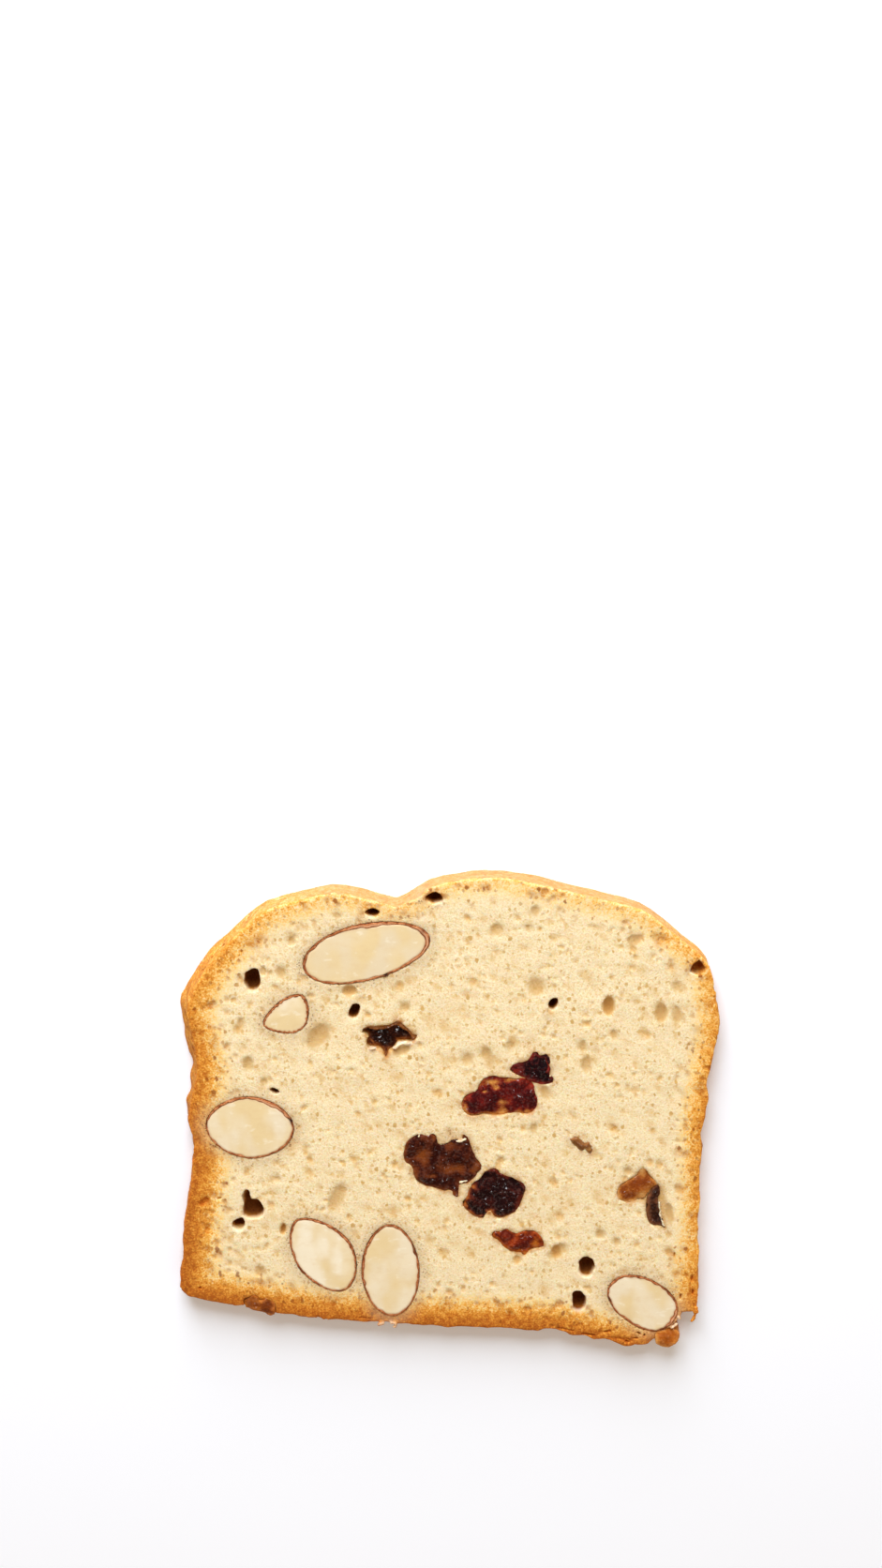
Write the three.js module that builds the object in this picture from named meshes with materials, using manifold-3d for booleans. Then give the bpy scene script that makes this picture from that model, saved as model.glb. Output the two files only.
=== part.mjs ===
// A slice of almond biscotti with dried fruit, lying on its back with the cut face up.
// Millimetres, +Z up. X runs across the slice, Y from its flat base to its rounded top.
// The origin is under the middle of the slice, on the surface that it rests on.

import * as THREE from 'three';
import { mergeVertices } from 'three/addons/utils/BufferGeometryUtils.js';
import Module from 'manifold-3d';

const wasm = await Module();
wasm.setup();

// Driving dimensions of the slice
const HALF_WIDTH = 50.3;
const HALF_HEIGHT = 48.2;
const THICKNESS = 4.5;
const GAP = 0.3;            // clearance between the crumb and each nut or fruit in it
const WELD = 1e-4;          // points closer than this are one
const CRUST_STEP = 2.4;     // spacing of the points along the crust
const FRUIT_STEP = 0.8;     // and round a piece of fruit
const CRUST_RELIEF = 0.22;  // how far the crust's small crags stand in and out
const BACK_FLARE = 1.9;     // how far the back face reaches past the cut face on the left
const FLARE_MIDDLE = 18;    // height of that flare's middle on the Y axis
const FLARE_REACH = 20;     // and how far it reaches up and down from there

// The cut face's outline: corners as shares of the half sizes, with a fillet in mm each
const OUTLINE = [
  [-1.010, -0.767, 2.1],    // base, left
  [-0.978, -0.427, 14.9],
  [-0.930, -0.154, 7.9],    // waist
  [-0.946, 0.008, 9.2],
  [-0.905, 0.236, 7.3],     // hollow in the left side
  [-0.938, 0.483, 6.3],
  [-0.841, 0.668, 14.2],    // left shoulder
  [-0.648, 0.876, 9.8],
  [-0.386, 0.952, 9.8],
  [-0.163, 0.882, 2.7],     // dip in the top
  [-0.038, 0.975, 7.8],
  [0.173, 1.015, 25.8],
  [0.517, 0.929, 16.3],
  [0.716, 0.871, 10.4],
  [0.950, 0.662, 6.5],      // right shoulder
  [0.996, 0.419, 8.0],      // bulge below it
  [0.950, 0.002, 16.1],
  [0.962, -0.851, 1.2],     // ledge where the corner broke off
  [0.902, -0.851, 0.7],
  [0.887, -0.996, 2.9],     // base, right
  [0.706, -0.994, 11.1],
  [0.382, -0.921, 23.7],
  [-0.165, -0.898, 26.4],
  [-0.584, -0.863, 31.1],
];

// Almonds cut through by the knife. Taper is positive towards an end that is narrower,
// bend bows the long axis, and fullness is 2 for an oval, less for pointed ends.
const ALMONDS = [
  { name: 'almond_upper', x: -14.2, y: 33.9, length: 23.6, width: 10.8, turn: 15, taper: 0.06, bend: -0.25,
    fullness: 1.97 },
  { name: 'almond_small', x: -28.8, y: 21.8, length: 9.4, width: 6.6, turn: 38, taper: -0.08, bend: 1.27,
    fullness: 1.73 },
  { name: 'almond_left', x: -36.2, y: -1.1, length: 16.3, width: 12.6, turn: 176, taper: 0.01, bend: -0.05,
    fullness: 1.87 },
  { name: 'almond_base_left', x: -23.2, y: -27.9, length: 17.6, width: 11.2, turn: 121, taper: 0.06,
    bend: 0.36, fullness: 1.73 },
  { name: 'almond_base_mid', x: -10.3, y: -31.4, length: 19.8, width: 11.0, turn: -89, taper: -0.03,
    bend: 0.11, fullness: 1.91 },
  { name: 'almond_corner', x: 37.8, y: -38.4, length: 14.8, width: 9.9, turn: -37, taper: -0.07,
    bend: -0.14, fullness: 2.2 },
];

// Pieces of dried fruit, each with the corners that a smooth curve runs through, anticlockwise.
// Sunk is how far the piece's top lies below the cut face.
const FRUIT = [
  { name: 'cherry_recessed', sunk: 1.5, colour: 0x2c0b0a, corners: [
    [-14.5, 17.8], [-14.0, 17.1], [-14.4, 16.1], [-13.7, 15.0], [-12.5, 15.0], [-11.3, 14.1],
    [-10.8, 12.9], [-10.4, 14.1], [-9.4, 14.8], [-8.9, 15.8], [-7.7, 16.3], [-6.3, 16.1], [-5.3, 16.9],
    [-4.9, 17.5], [-6.0, 17.8], [-7.3, 19.3], [-8.7, 20.3], [-10.1, 19.5], [-12.4, 19.3], [-14.7, 19.1],
    [-15.2, 18.2],
  ] },
  { name: 'cherry_small', sunk: 0.15, colour: 0x3a0d10, corners: [
    [13.1, 9.7], [15.0, 9.0], [16.9, 8.0], [18.6, 7.8], [19.7, 8.2], [19.7, 9.3], [19.0, 9.5],
    [19.1, 11.0], [18.9, 13.3], [18.2, 13.9], [17.5, 13.3], [16.8, 14.1], [16.1, 14.1], [15.6, 12.9],
    [14.5, 12.2], [12.7, 11.8], [12.1, 10.9],
  ] },
  { name: 'cherry_red', sunk: 0.15, colour: 0x5c1410, corners: [
    [3.7, 2.1], [4.7, 1.3], [7.1, 1.7], [9.6, 1.3], [11.8, 1.7], [13.2, 2.1], [14.4, 1.7], [15.6, 1.7],
    [16.7, 2.8], [17.0, 4.4], [16.2, 6.9], [15.7, 8.4], [14.8, 9.0], [13.3, 8.6], [12.1, 9.0],
    [10.2, 9.0], [8.5, 9.3], [7.3, 9.0], [6.4, 7.8], [5.7, 6.3], [4.3, 5.7], [3.3, 4.8], [3.1, 3.4],
  ] },
  { name: 'raisin_large', sunk: 0.15, colour: 0x4a1c0e, corners: [
    [-7.3, -8.2], [-6.3, -9.0], [-5.6, -11.4], [-4.2, -13.0], [-2.2, -13.5], [-0.3, -14.3],
    [1.1, -14.1], [2.2, -15.5], [2.7, -13.0], [4.3, -12.6], [6.0, -10.6], [6.7, -9.2], [5.6, -7.4],
    [4.7, -5.1], [4.2, -3.2], [3.5, -2.6], [3.2, -3.7], [1.4, -3.7], [0.4, -4.5], [-1.2, -4.7],
    [-1.7, -3.0], [-2.4, -2.4], [-3.3, -3.0], [-4.7, -2.6], [-6.4, -3.5], [-7.3, -4.9], [-7.5, -6.9],
  ] },
  { name: 'cherry_black', sunk: 0.15, colour: 0x2a0b0b, corners: [
    [4.5, -18.7], [5.9, -19.9], [6.9, -20.1], [7.6, -19.1], [8.5, -18.3], [9.0, -19.3], [9.8, -20.1],
    [12.4, -19.3], [13.6, -18.1], [14.5, -15.7], [15.0, -13.5], [14.4, -12.6], [12.0, -11.4],
    [10.4, -10.8], [9.5, -9.8], [7.7, -10.2], [6.5, -12.0], [5.0, -13.0], [4.4, -15.3], [3.4, -17.3],
  ] },
  { name: 'cherry_amber', sunk: 0.15, colour: 0x8a2e0e, corners: [
    [10.0, -24.7], [11.1, -26.1], [12.7, -27.2], [14.5, -27.6], [15.2, -28.4], [15.9, -27.2],
    [16.9, -26.7], [18.7, -26.3], [18.1, -24.3], [17.2, -23.1], [16.2, -22.9], [14.9, -22.9],
    [13.9, -23.5], [12.8, -23.3], [11.6, -22.5], [10.5, -23.1], [9.4, -23.1], [8.9, -24.1],
  ] },
  { name: 'raisin_gold', sunk: 0.15, colour: 0xa8601f, corners: [
    [33.1, -16.3], [34.9, -16.7], [36.0, -16.1], [37.5, -15.9], [37.9, -14.9], [38.9, -13.7],
    [39.4, -12.6], [38.3, -11.4], [37.7, -10.2], [37.1, -9.4], [36.5, -9.8], [36.0, -11.2],
    [34.4, -12.2], [32.9, -13.3], [32.4, -14.7],
  ] },
  { name: 'raisin_sliver', sunk: 0.15, colour: 0x2c1009, corners: [
    [39.9, -13.1], [39.1, -13.9], [38.2, -15.7], [38.0, -17.9], [38.4, -20.7], [39.5, -21.7],
    [40.6, -21.7], [41.6, -22.5], [40.9, -20.7], [40.1, -18.3], [39.7, -16.3], [40.1, -14.3],
  ] },
  { name: 'raisin_base', sunk: 0.1, colour: 0x8a4518, corners: [
    [-38.0, -39.6], [-36.4, -40.3], [-34.3, -40.9], [-33.0, -41.1], [-32.5, -40.3], [-32.8, -38.8],
    [-33.8, -37.8], [-35.5, -38.0], [-36.1, -37.0], [-37.2, -37.2], [-38.5, -38.0],
  ] },
  { name: 'raisin_corner', sunk: 0.1, colour: 0xb4692c, corners: [
    [40.7, -46.7], [41.3, -48.0], [42.4, -48.4], [43.7, -48.0], [44.9, -46.7], [45.2, -45.5],
    [43.9, -44.4], [42.1, -44.4], [40.7, -45.2],
  ] },
  { name: 'raisin_bit', sunk: 0.1, colour: 0x6a3014, corners: [
    [24.3, -4.9], [25.3, -5.9], [26.0, -5.3], [26.9, -6.5], [27.4, -6.1], [26.5, -4.3], [25.8, -4.7],
    [25.1, -3.7], [24.2, -3.3], [23.4, -3.7],
  ] },
];

// Deep bubbles that open in the cut face: x, y, width, height, turn in degrees
const BUBBLES = [
  [-34.9, 28.8, 2.6, 4.6, -8], [-16.2, 22.5, 1.6, 2.8, -20], [-13.2, 41.7, 2.4, 1.6, -15],
  [-36.0, -18.1, 3.2, 4.4, -15], [-37.3, -15.5, 1.3, 3.2, 8], [-38.9, -21.1, 1.7, 1.6, 0],
  [26.8, -31.0, 3.1, 3.9, -10], [25.5, -38.0, 2.5, 4.3, 10], [19.6, 23.7, 1.5, 2.8, 0],
  [-4.2, 40.2, 1.6, 0.9, 0], [-31.6, 6.4, 1.6, 1.0, -25], [45.4, 30.6, 2.0, 2.9, -25],
  [-1.9, 44.2, 3.7, 2.6, -15],
];

// Shallow open pores in the cut face, in the same way
const PORES = [
  [-32.8, 30.4, 1.2, 2.2, 0], [-29.6, 30.2, 1.9, 2.6, 0], [-27.6, 36.3, 1.6, 2.0, 0],
  [-19.4, 40.9, 1.8, 1.6, 0], [-17.5, 26.6, 2.7, 2.0, 20], [-7.3, 23.4, 2.0, 1.9, 0],
  [-23.2, 17.5, 3.7, 6.2, -38], [-36.2, 12.0, 2.1, 3.0, -12], [-37.2, 19.9, 1.1, 2.4, 0],
  [-33.4, 8.4, 1.4, 1.5, 0], [9.4, 38.4, 2.9, 2.5, 0], [16.1, 42.0, 1.8, 2.2, -20],
  [14.8, 39.0, 1.5, 2.2, 20], [16.5, 27.3, 3.4, 4.1, 0], [29.8, 23.6, 2.2, 3.9, 0],
  [39.1, 22.1, 2.2, 4.5, 0], [42.1, 21.9, 1.9, 3.7, 10], [41.9, 27.3, 2.0, 2.4, 15],
  [38.5, 36.4, 3.8, 2.2, -25], [33.8, 36.3, 2.2, 2.4, 0], [30.8, 17.8, 1.3, 2.1, 10],
  [25.2, 15.4, 1.3, 2.6, 0], [25.9, 11.8, 2.0, 3.6, 0], [4.0, 12.9, 2.6, 2.6, 20],
  [7.6, 13.9, 2.1, 3.0, 10], [12.0, 15.6, 1.9, 2.2, -30], [18.4, 6.2, 2.0, 2.6, 10],
  [16.4, -1.2, 1.6, 2.3, -20], [10.5, -7.8, 1.6, 1.4, 0], [-20.2, -15.7, 2.8, 7.2, -25],
  [-30.6, -22.3, 1.2, 2.8, -8], [-31.4, -11.6, 1.4, 1.6, 0], [-35.4, -31.6, 1.8, 2.9, 0],
  [-45.2, -16.3, 2.0, 1.3, 40], [-44.7, -22.3, 1.1, 2.2, -15], [21.4, -27.2, 2.4, 4.4, -45],
  [15.9, -39.8, 2.0, 1.5, 0], [29.3, -23.5, 1.9, 2.0, 0], [32.5, -25.1, 1.6, 1.8, 0],
  [34.2, -10.2, 1.8, 1.7, 0], [-15.6, -42.3, 5.2, 0.7, -3], [23.0, -44.6, 4.4, 0.6, -12],
  [33.6, -46.6, 5.0, 0.7, -4], [40.9, -17.6, 2.0, 8.4, 6], [-8.2, 14.8, 3.4, 1.7, 12],
  [-10.6, 12.4, 1.5, 1.5, 0],
];

// Builds the ring of an oval round the origin, with its long axis along X.
function oval({ length, width, taper = 0, bend = 0, fullness = 2 }, sides) {
  const bulge = (value) => Math.sign(value) * Math.abs(value) ** (2 / fullness);
  return Array.from({ length: sides }, (_, index) => {
    const angle = index / sides * 2 * Math.PI;
    const along = bulge(Math.cos(angle));
    const across = bulge(Math.sin(angle)) * (1 - taper * along);
    return new THREE.Vector2(along * length / 2, across * width / 2 + bend * (along ** 2 - 0.5));
  });
}

// Turns a ring by some degrees and moves it to a place on the slice.
function place(ring, x, y, turn) {
  const origin = new THREE.Vector2();
  const angle = THREE.MathUtils.degToRad(turn);
  return ring.map((point) => point.clone().rotateAround(origin, angle).add(new THREE.Vector2(x, y)));
}

// The unit vector out of a ring, which runs anticlockwise, at one of its points.
function outward(ring, index) {
  const along = ring[(index + 1) % ring.length].clone().sub(ring.at(index - 1));
  return new THREE.Vector2(along.y, -along.x).normalize();
}

// Moves every point of a ring outwards, by one amount or by an amount for each point.
function grow(ring, amount) {
  const reach = typeof amount === 'function' ? amount : () => amount;
  return ring.map((point, index) => {
    return point.clone().addScaledVector(outward(ring, index), reach(point, index));
  });
}

// Moves every side of a ring outwards by the same amount, so that its corners stay sharp.
function widen(ring, amount) {
  const sideNormal = (from, to) => new THREE.Vector2(to.y - from.y, from.x - to.x).normalize();
  return ring.map((point, index) => {
    const before = sideNormal(ring.at(index - 1), point);
    const after = sideNormal(point, ring[(index + 1) % ring.length]);
    const reach = amount / (1 + before.dot(after));
    return point.clone().addScaledVector(before.add(after), reach);
  });
}

// Makes a solid of a geometry's closed mesh.
function toSolid(geometry) {
  geometry.deleteAttribute('normal');
  geometry.deleteAttribute('uv');
  const merged = mergeVertices(geometry, WELD);
  return new wasm.Manifold(new wasm.Mesh({
    numProp: 3,
    vertProperties: new Float32Array(merged.attributes.position.array),
    triVerts: new Uint32Array(merged.index.array),
  }));
}

// Joins rings of equal length, each a list of points at a height, from the lowest to the highest.
function loft(rings) {
  const sides = rings[0].points.length;
  const positions = rings.flatMap(({ z, points }) => points.flatMap((point) => [point.x, point.y, z]));
  const faces = [];
  for (let ring = 0; ring < rings.length - 1; ring += 1) {
    for (let side = 0; side < sides; side += 1) {
      const next = (side + 1) % sides;
      const low = ring * sides;
      const high = low + sides;
      faces.push(low + side, low + next, high + next, low + side, high + next, high + side);
    }
  }
  const top = (rings.length - 1) * sides;
  for (const [a, b, c] of THREE.ShapeUtils.triangulateShape(rings[0].points, [])) {
    faces.push(c, b, a);
  }
  for (const [a, b, c] of THREE.ShapeUtils.triangulateShape(rings.at(-1).points, [])) {
    faces.push(top + a, top + b, top + c);
  }
  const geometry = new THREE.BufferGeometry();
  geometry.setAttribute('position', new THREE.Float32BufferAttribute(positions, 3));
  geometry.setIndex(faces);
  return toSolid(geometry);
}

// A hollow of oval plan, hung from a height, that reaches the given depth below it.
function hollow([x, y, width, height, turn], middle, depth) {
  const sides = 9;
  const bands = 6;
  const geometry = new THREE.SphereGeometry(1, sides, bands);
  geometry.rotateX(Math.PI / 2);
  geometry.scale(width / 2, height / 2, depth);
  geometry.rotateZ(THREE.MathUtils.degToRad(turn));
  geometry.translate(x, y, middle);
  return toSolid(geometry);
}

// The slice's outline with its fillets, as points an even step apart.
function sliceOutline() {
  const corners = OUTLINE.map(([x, y, fillet]) => {
    return { at: new THREE.Vector2(x * HALF_WIDTH, y * HALF_HEIGHT), fillet };
  });
  const shape = new THREE.Shape();
  corners.forEach(({ at, fillet }, index) => {
    const back = corners.at(index - 1).at.clone().sub(at);
    const ahead = corners[(index + 1) % corners.length].at.clone().sub(at);
    const halfAngle = Math.abs(back.angleTo(ahead)) / 2;
    const longest = 0.49 * Math.min(back.length(), ahead.length());
    const cut = Math.min(fillet / Math.tan(halfAngle), longest);
    const start = at.clone().addScaledVector(back.normalize(), cut);
    const end = at.clone().addScaledVector(ahead.normalize(), cut);
    if (index === 0) {
      shape.moveTo(start.x, start.y);
    } else {
      shape.lineTo(start.x, start.y);
    }
    shape.quadraticCurveTo(at.x, at.y, end.x, end.y);
  });
  shape.closePath();
  const points = shape.getSpacedPoints(Math.round(shape.getLength() / CRUST_STEP)).slice(0, -1);
  return THREE.ShapeUtils.isClockWise(points) ? points.reverse() : points;
}

// How far the crust stands out past the cut face's outline, at a share of the way down to the back.
function crustReach(point, index, share) {
  const fromMiddle = (point.y - FLARE_MIDDLE) / FLARE_REACH;
  const flare = point.x < 0 ? BACK_FLARE * Math.exp(-(fromMiddle ** 2)) : 0;
  const crags = Math.sin(index * 2.4 + share * 5) + Math.sin(index * 1.1 - share * 9);
  return flare * share + CRUST_RELIEF * crags * Math.sin(share * Math.PI) / 2;
}

function sliceBlank() {
  const outline = sliceOutline();
  const shares = [1, 0.68, 0.34, 0];
  return loft(shares.map((share) => ({
    z: THICKNESS * (1 - share),
    points: grow(outline, (point, index) => crustReach(point, index, share)),
  })));
}

function almondRing(almond, sides = 36) {
  return place(oval(almond, sides), almond.x, almond.y, almond.turn);
}

// An almond's solid: the back of the kernel is a little smaller than its cut face.
function almondSolid(almond) {
  const ring = almondRing(almond);
  const eased = 0.15;
  return loft([
    { z: 0, points: grow(ring, -2 * eased) },
    { z: THICKNESS - eased, points: ring },
    { z: THICKNESS, points: grow(ring, -eased) },
  ]);
}

// The room for a nut or a piece of fruit, with an even clearance all round.
function throughPocket(ring) {
  const points = widen(ring, GAP);
  return loft([{ z: -1, points }, { z: THICKNESS + 1, points }]);
}

// The ring of a piece of fruit: a smooth curve through its corners, in even steps.
function fruitRing({ corners }) {
  const points = corners.map(([x, y]) => new THREE.Vector3(x, y, 0));
  const curve = new THREE.CatmullRomCurve3(points, true, 'centripetal');
  const steps = Math.round(curve.getLength() / FRUIT_STEP);
  return curve.getSpacedPoints(steps).slice(0, -1).map(({ x, y }) => new THREE.Vector2(x, y));
}

function unite(solids) {
  return solids.reduce((joined, solid) => joined.add(solid));
}

// The largest of a solid's separate bodies, without loose scraps.
function largestBody(solid) {
  return solid.decompose().reduce((best, body) => (body.volume() > best.volume() ? body : best));
}

function namedMesh(name, solid, colour, roughness) {
  const { vertProperties, triVerts } = solid.getMesh();
  const geometry = new THREE.BufferGeometry();
  geometry.setAttribute('position', new THREE.BufferAttribute(new Float32Array(vertProperties), 3));
  geometry.setIndex(new THREE.BufferAttribute(new Uint32Array(triVerts), 1));
  geometry.computeVertexNormals();
  const material = new THREE.MeshStandardMaterial({ color: colour, roughness, metalness: 0 });
  const mesh = new THREE.Mesh(geometry, material);
  mesh.name = name;
  return mesh;
}

// The baked crumb, with a pocket for every nut and fruit, and with the bubbles and pores open in
// its face. A bubble is widest just below the face and takes a share of the slice's thickness. The
// depth of a pore is a share of its width and height.
function crumbSolid() {
  const bubbleTop = 0.3;
  const bubbleShare = 0.78;
  const poreShare = 0.16;
  const pockets = [
    ...ALMONDS.map((almond) => throughPocket(almondRing(almond))),
    ...FRUIT.map((fruit) => throughPocket(fruitRing(fruit))),
  ];
  const bubbles = BUBBLES.map((bubble) => {
    return hollow(bubble, THICKNESS - bubbleTop, THICKNESS * bubbleShare - bubbleTop);
  });
  const pores = PORES.map((pore) => hollow(pore, THICKNESS, poreShare * (pore[2] + pore[3])));
  return largestBody(sliceBlank().subtract(unite([...pockets, ...bubbles, ...pores])));
}

// A piece of fruit, which narrows to the back and has a rounded top. It is cut clear of the nuts
// and of the fruit that comes before it in the list.
function fruitSolid(fruit, neighbours) {
  const ring = fruitRing(fruit);
  const top = THICKNESS - fruit.sunk;
  const roundover = 0.35;
  const backShare = 0.94;
  const shoulderShare = 0.97;
  const topShare = 0.88;
  const total = ring.reduce((sum, point) => sum.add(point), new THREE.Vector2());
  const middle = total.divideScalar(ring.length);
  const shrunk = (share) => ring.map((point) => point.clone().lerp(middle, 1 - share));
  const whole = loft([
    { z: 0, points: shrunk(backShare) },
    { z: top / 2, points: ring },
    { z: top - roundover, points: shrunk(shoulderShare) },
    { z: top, points: shrunk(topShare) },
  ]);
  return largestBody(whole.subtract(unite(neighbours)));
}

const biscotti = new THREE.Group();
biscotti.add(namedMesh('slice', crumbSolid(), 0xf2dfb8, 0.85));
const taken = [];
for (const almond of ALMONDS) {
  biscotti.add(namedMesh(almond.name, almondSolid(almond), 0xf0e0bd, 0.55));
  taken.push(throughPocket(almondRing(almond)));
}
for (const fruit of FRUIT) {
  biscotti.add(namedMesh(fruit.name, fruitSolid(fruit, taken), fruit.colour, 0.3));
  taken.push(throughPocket(fruitRing(fruit)));
}

// Puts the origin under the middle of the whole slice.
const middle = new THREE.Box3().setFromObject(biscotti, true).getCenter(new THREE.Vector3());
biscotti.position.set(-middle.x, -middle.y, 0);
biscotti.updateMatrixWorld(true);

export default biscotti;
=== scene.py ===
"""A slice of almond biscotti with dried fruit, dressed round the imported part.

The CAD nodes give every place and outline: the crumb, the almonds and the fruit are built again
over them as fine meshes. Lengths in the code are millimetres, and meshes are made in metres.
"""
import math

import bmesh
import bpy
import numpy as np
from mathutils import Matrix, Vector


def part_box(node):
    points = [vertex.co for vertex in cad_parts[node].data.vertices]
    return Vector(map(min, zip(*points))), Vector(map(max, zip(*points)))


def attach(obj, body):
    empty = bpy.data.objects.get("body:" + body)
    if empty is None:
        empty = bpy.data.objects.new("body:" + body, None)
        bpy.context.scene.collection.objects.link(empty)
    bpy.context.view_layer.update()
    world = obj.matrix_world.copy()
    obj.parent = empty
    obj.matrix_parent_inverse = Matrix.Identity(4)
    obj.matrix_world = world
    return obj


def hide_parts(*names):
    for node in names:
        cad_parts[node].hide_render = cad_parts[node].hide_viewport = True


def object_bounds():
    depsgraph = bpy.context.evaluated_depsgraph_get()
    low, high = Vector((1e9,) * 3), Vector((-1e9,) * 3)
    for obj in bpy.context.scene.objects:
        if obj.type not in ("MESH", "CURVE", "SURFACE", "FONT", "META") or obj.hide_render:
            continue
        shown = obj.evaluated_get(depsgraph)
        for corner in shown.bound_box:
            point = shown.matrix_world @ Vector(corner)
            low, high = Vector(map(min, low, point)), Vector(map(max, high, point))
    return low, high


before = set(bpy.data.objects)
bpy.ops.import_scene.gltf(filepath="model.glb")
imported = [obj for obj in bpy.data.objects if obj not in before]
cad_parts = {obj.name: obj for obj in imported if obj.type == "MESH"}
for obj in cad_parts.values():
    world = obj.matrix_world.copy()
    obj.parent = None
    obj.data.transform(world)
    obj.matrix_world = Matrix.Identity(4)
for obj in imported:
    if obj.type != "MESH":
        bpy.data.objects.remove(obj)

import openvdb
from mathutils import Vector
from mathutils.bvhtree import BVHTree

CAD_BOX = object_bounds()
MM = 0.001
BODY = "root"
SLICE = "slice"
LOW = np.array(CAD_BOX[0]) / MM
HIGH = np.array(CAD_BOX[1]) / MM
THICKNESS = HIGH[2] - LOW[2]

# The photograph's camera: its focal length in the photo's pixels, place in mm and tilt in degrees
PHOTO_HEIGHT_PX = 1672
FOCAL_PX = 2000
SENSOR = 36
EYE = (-0.4, 164.7, 316.5)
TILT = 17.6

# The lights: name, place and size in metres, watts, and colour
LIGHTS = [
    ("key", (-0.1, 0.812, 0.38), (0.5, 0.64), 16.2, (0.75, 0.855, 1.0)),
    ("spark", (0.05, -0.33, 0.64), (0.07, 0.07), 0.3, (0.9, 0.95, 1.0)),
]
SURROUND = (1.0, 0.84, 0.69, 1)
SURROUND_STRENGTH = 0.48
FLOOR_SIZE = 6

# The meshes: grid steps in mm, and how far a mesh is thinned out where it is flat, from 0 to 1
CRUMB_STEP = 0.15
CRUMB_THINNING = 0.21
FRUIT_STEP = 0.1
FRUIT_THINNING = 0.1
GRID_MARGIN = 4             # steps that a grid runs past its box
ALMOND_POINTS = 220         # round an almond's outline
SEED = 11

# The crumb
EDGE_ROUND = 0.3
SKIN_ROOM = 0.05            # gap between the crumb and an almond's skin
FRUIT_ROOM = 0.08           # and between the crumb and a piece of fruit
FACE_PORES = 2300
BACK_PORES = 950
CRUST_PORES = 420
RIM_ROOM = 0.8              # what a bubble leaves standing of the rim
CUT_BLEND = 0.06            # how softly the edge of a cut runs into the face
HEAP_BLEND = 0.12           # and the foot of a shred
SHRED_STEP = 0.22           # how far apart the blobs of a shred lie
SMOOTH_CRUST_Y = 33         # where the crust's top begins, which has fewer pores
# The two below set painted shade: the crumb's colour darkens with depth in its deep bubbles and hollows
PIT_SHADE = 1.8             # how many times deeper a deep bubble looks than it is
WELL_SHADE = 1.7            # how much deeper in mm the darkest hollow looks than it is

# How brown the oven left the rim: direction from the middle in degrees, strength, and depth in mm
BROWNING = np.array([
    (0, 0.67, 3.5), (25, 0.58, 3.6), (50, 0.32, 3.8), (90, 0.3, 3.8), (115, 0.33, 3.8), (145, 0.64, 4.2),
    (170, 0.8, 4.8), (200, 0.94, 5.3), (218, 1.02, 5.4), (240, 0.97, 5.3), (270, 0.95, 5.1),
    (300, 0.95, 5.1), (318, 0.86, 4.5), (332, 0.54, 3.4),
])

# Torn crumb that stands up beside the fruit: a path in mm along each shred, how thick it is, and how pale
SHREDS = [
    ([(-8.9, 15.1), (-8.2, 15.7), (-7.0, 16.1), (-6.0, 16.0)], 0.3, 0.85),
    ([(-13.2, 14.9), (-12.4, 15.1)], 0.24, 0.8),
    ([(40.6, -16.8), (40.9, -19.5), (41.7, -22.1)], 0.14, 0.8),
    ([(4.1, -3.4), (3.4, -3.9), (2.4, -3.9)], 0.22, 0.8),
    ([(-4.6, -2.9), (-4.4, -2.7)], 0.16, 0.8),
    ([(-2.8, -3.3), (-2.5, -2.8)], 0.16, 0.8),
    ([(3.3, -12.5), (4.5, -12.0)], 0.2, 0.8),
    ([(19.7, 9.5), (19.4, 9.2)], 0.14, 0.8),
    ([(45.2, -41.5), (45.3, -42.0)], 0.26, 0.6),
    ([(44.0, -43.9), (44.6, -43.4), (45.0, -43.0)], 0.26, 0.6),
    ([(-12.2, -43.1), (-11.4, -42.9)], 0.3, 0.4),
    ([(-10.1, -42.7), (-9.2, -42.9), (-9.0, -43.6), (-9.7, -43.8)], 0.26, 0.4),
    ([(48.5, -39.6), (48.4, -40.8)], 0.34, 0.0),
    ([(48.4, -40.8), (48.2, -41.7), (47.8, -42.5)], 0.22, 0.0),
]
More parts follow.
